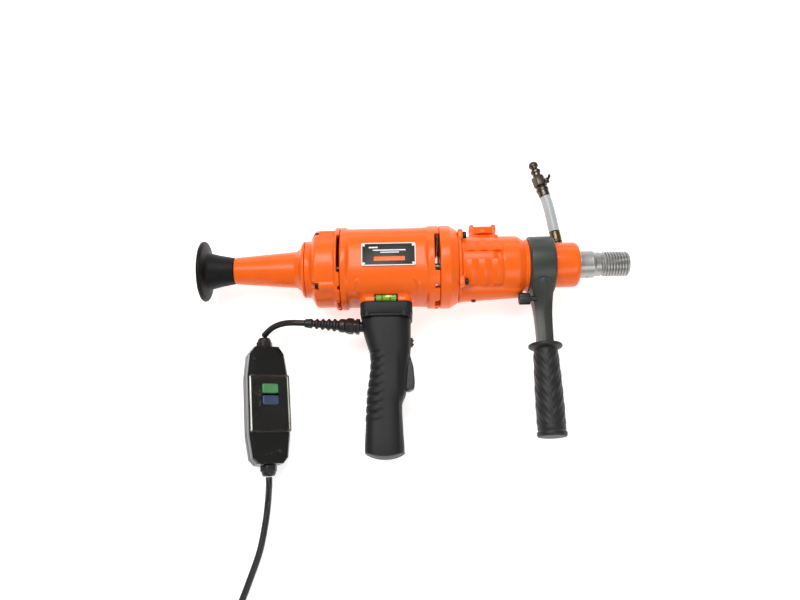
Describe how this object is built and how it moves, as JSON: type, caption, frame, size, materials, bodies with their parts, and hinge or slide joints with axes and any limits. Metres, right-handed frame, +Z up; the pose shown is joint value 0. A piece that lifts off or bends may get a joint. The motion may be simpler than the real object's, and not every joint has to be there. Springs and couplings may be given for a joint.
{
  "type": "hand-held wet core drill",
  "caption": "Hand-held wet core drill: cased motor and gearbox, threaded spindle, pistol grip, swivelling side handle, breast pad, water hose and in-line safety switch on its cord.",
  "frame": {"origin": "centre of the footprint of the machine, without the cord set, on the surface it lies on", "axes": "+X along the spindle towards its thread, -Y towards the pistol grip and side handle, +Z up from the surface"},
  "size_m": [0.544, 0.6833, 0.103],
  "materials": {
    "orange_paint": "glossy orange paint on castings",
    "black_plastic": "fine-grained black nylon",
    "dark_rubber": "matt moulded rubber",
    "grey_casting": "dark grey powder-coated casting",
    "cord_rubber": "smooth cord sheath",
    "steel": "turned steel",
    "black_steel": "black oxide screws",
    "iron_core": "laminated iron",
    "copper": "copper segments",
    "brass": "dull brass",
    "nickel": "warm nickel plate",
    "clear_plastic": "clear flexible tube",
    "smoked_plastic": "clear cover over black",
    "green_plastic": "green push button",
    "blue_plastic": "blue push button",
    "vial_liquid": "tinted spirit level"
  },
  "bodies": {
    "machine": {"breast_pad": "black_plastic", "rear_cone": "orange_paint", "rear_housing": "orange_paint", "motor_housing": "orange_paint", "nameplate": "black_plastic", "level_vial": "vial_liquid", "stator_core": "iron_core", "brush_holder_1": "brass", "brush_holder_2": "brass", "gearbox_cover": "orange_paint", "gearbox_housing": "orange_paint", "rotor_rear_bearing": "steel", "rotor_front_bearing": "steel", "spindle_rear_bearing": "steel", "spindle_front_bearing": "steel", "shaft_seal": "dark_rubber", "water_collar": "orange_paint", "rear_screw_1": "black_steel", "rear_screw_2": "black_steel", "rear_screw_3": "black_steel", "rear_screw_4": "black_steel", "front_bolt_1": "black_steel", "front_bolt_2": "black_steel", "front_bolt_3": "black_steel", "front_bolt_4": "black_steel", "water_nipple": "brass", "water_hose": "clear_plastic", "valve_body": "nickel", "inlet_coupler": "nickel", "grip_collar": "black_plastic", "grip_shell_left": "black_plastic", "grip_shell_right": "black_plastic", "trigger_switch": "black_plastic", "cable_gland": "black_plastic", "strain_relief": "dark_rubber", "prcd_back_shell": "black_plastic", "prcd_front_shell": "black_plastic", "prcd_window": "smoked_plastic", "prcd_gland_top": "black_plastic", "prcd_gland_bottom": "black_plastic", "tool_lead": "cord_rubber", "mains_lead": "cord_rubber", "mains_coil": "cord_rubber", "plug": "black_plastic"},
    "spindle": {"spindle": "steel", "output_gear": "steel"},
    "countershaft": {"countershaft": "steel"},
    "armature": {"armature_shaft": "steel", "rotor_core": "iron_core", "commutator": "copper", "cooling_fan": "black_plastic"},
    "selector": {"speed_selector_knob": "orange_paint"},
    "side_handle": {"handle_clamp": "grey_casting", "handle_grip": "dark_rubber"},
    "clamp_screw": {"clamp_knob": "black_plastic"},
    "trigger": {"trigger": "black_plastic"},
    "lock_button": {"lock_button": "black_plastic"},
    "reset_button": {"reset_button": "green_plastic"},
    "test_button": {"test_button": "blue_plastic"},
    "valve_lever": {"valve_lever": "nickel"}
  },
  "joints": [
    {"name": "spindle_spin", "type": "hinge", "parent": "machine", "child": "spindle", "pos_m": [0.088, 0.04696, 0.05], "axis": [1, 0, 0], "continuous": true},
    {"name": "countershaft_spin", "type": "hinge", "parent": "machine", "child": "countershaft", "pos_m": [0.064, 0.02496, 0.05], "axis": [1, 0, 0], "continuous": true},
    {"name": "armature_spin", "type": "hinge", "parent": "machine", "child": "armature", "pos_m": [-0.02, 0.04696, 0.05], "axis": [1, 0, 0], "continuous": true},
    {"name": "selector_turn", "type": "hinge", "parent": "machine", "child": "selector", "pos_m": [0.088, 0.08696, 0.05], "axis": [0, 1, 0], "range_deg": [0, 180]},
    {"name": "side_handle_swivel", "type": "hinge", "parent": "machine", "child": "side_handle", "pos_m": [0.1585, 0.04696, 0.05], "axis": [1, 0, 0], "range_deg": [-90, 90]},
    {"name": "clamp_screw_turn", "type": "hinge", "parent": "side_handle", "child": "clamp_screw", "pos_m": [0.134, -0.00104, 0.061], "axis": [1, 0, 0], "range_deg": [-180, 180]},
    {"name": "trigger_pull", "type": "hinge", "parent": "machine", "child": "trigger", "pos_m": [-0.018, -0.06204, 0.05], "axis": [0, 0, -1], "range_deg": [0, 7], "stiffness_Nm_per_rad": 0.5, "springref_deg": -17.19},
    {"name": "lock_button_press", "type": "slide", "parent": "machine", "child": "lock_button", "axis": [-1, 0, 0], "range_m": [0, 0.002], "stiffness_N_per_m": 300, "springref_m": -0.003},
    {"name": "reset_button_press", "type": "slide", "parent": "machine", "child": "reset_button", "axis": [-0.4683, -0.0327, -0.8829], "range_m": [0, 0.0015], "stiffness_N_per_m": 400, "springref_m": -0.003},
    {"name": "test_button_press", "type": "slide", "parent": "machine", "child": "test_button", "axis": [-0.4683, -0.0327, -0.8829], "range_m": [0, 0.0015], "stiffness_N_per_m": 400, "springref_m": -0.003},
    {"name": "valve_lever_turn", "type": "hinge", "parent": "machine", "child": "valve_lever", "pos_m": [0.16791, 0.16421, 0.05], "axis": [0.9659, 0.2588, 0], "range_deg": [-90, 0]}
  ],
  "couplings": [
    {"joint": "countershaft_spin", "follows": "spindle_spin", "ratio": -2.0769},
    {"joint": "armature_spin", "follows": "spindle_spin", "ratio": 7.1538}
  ]
}
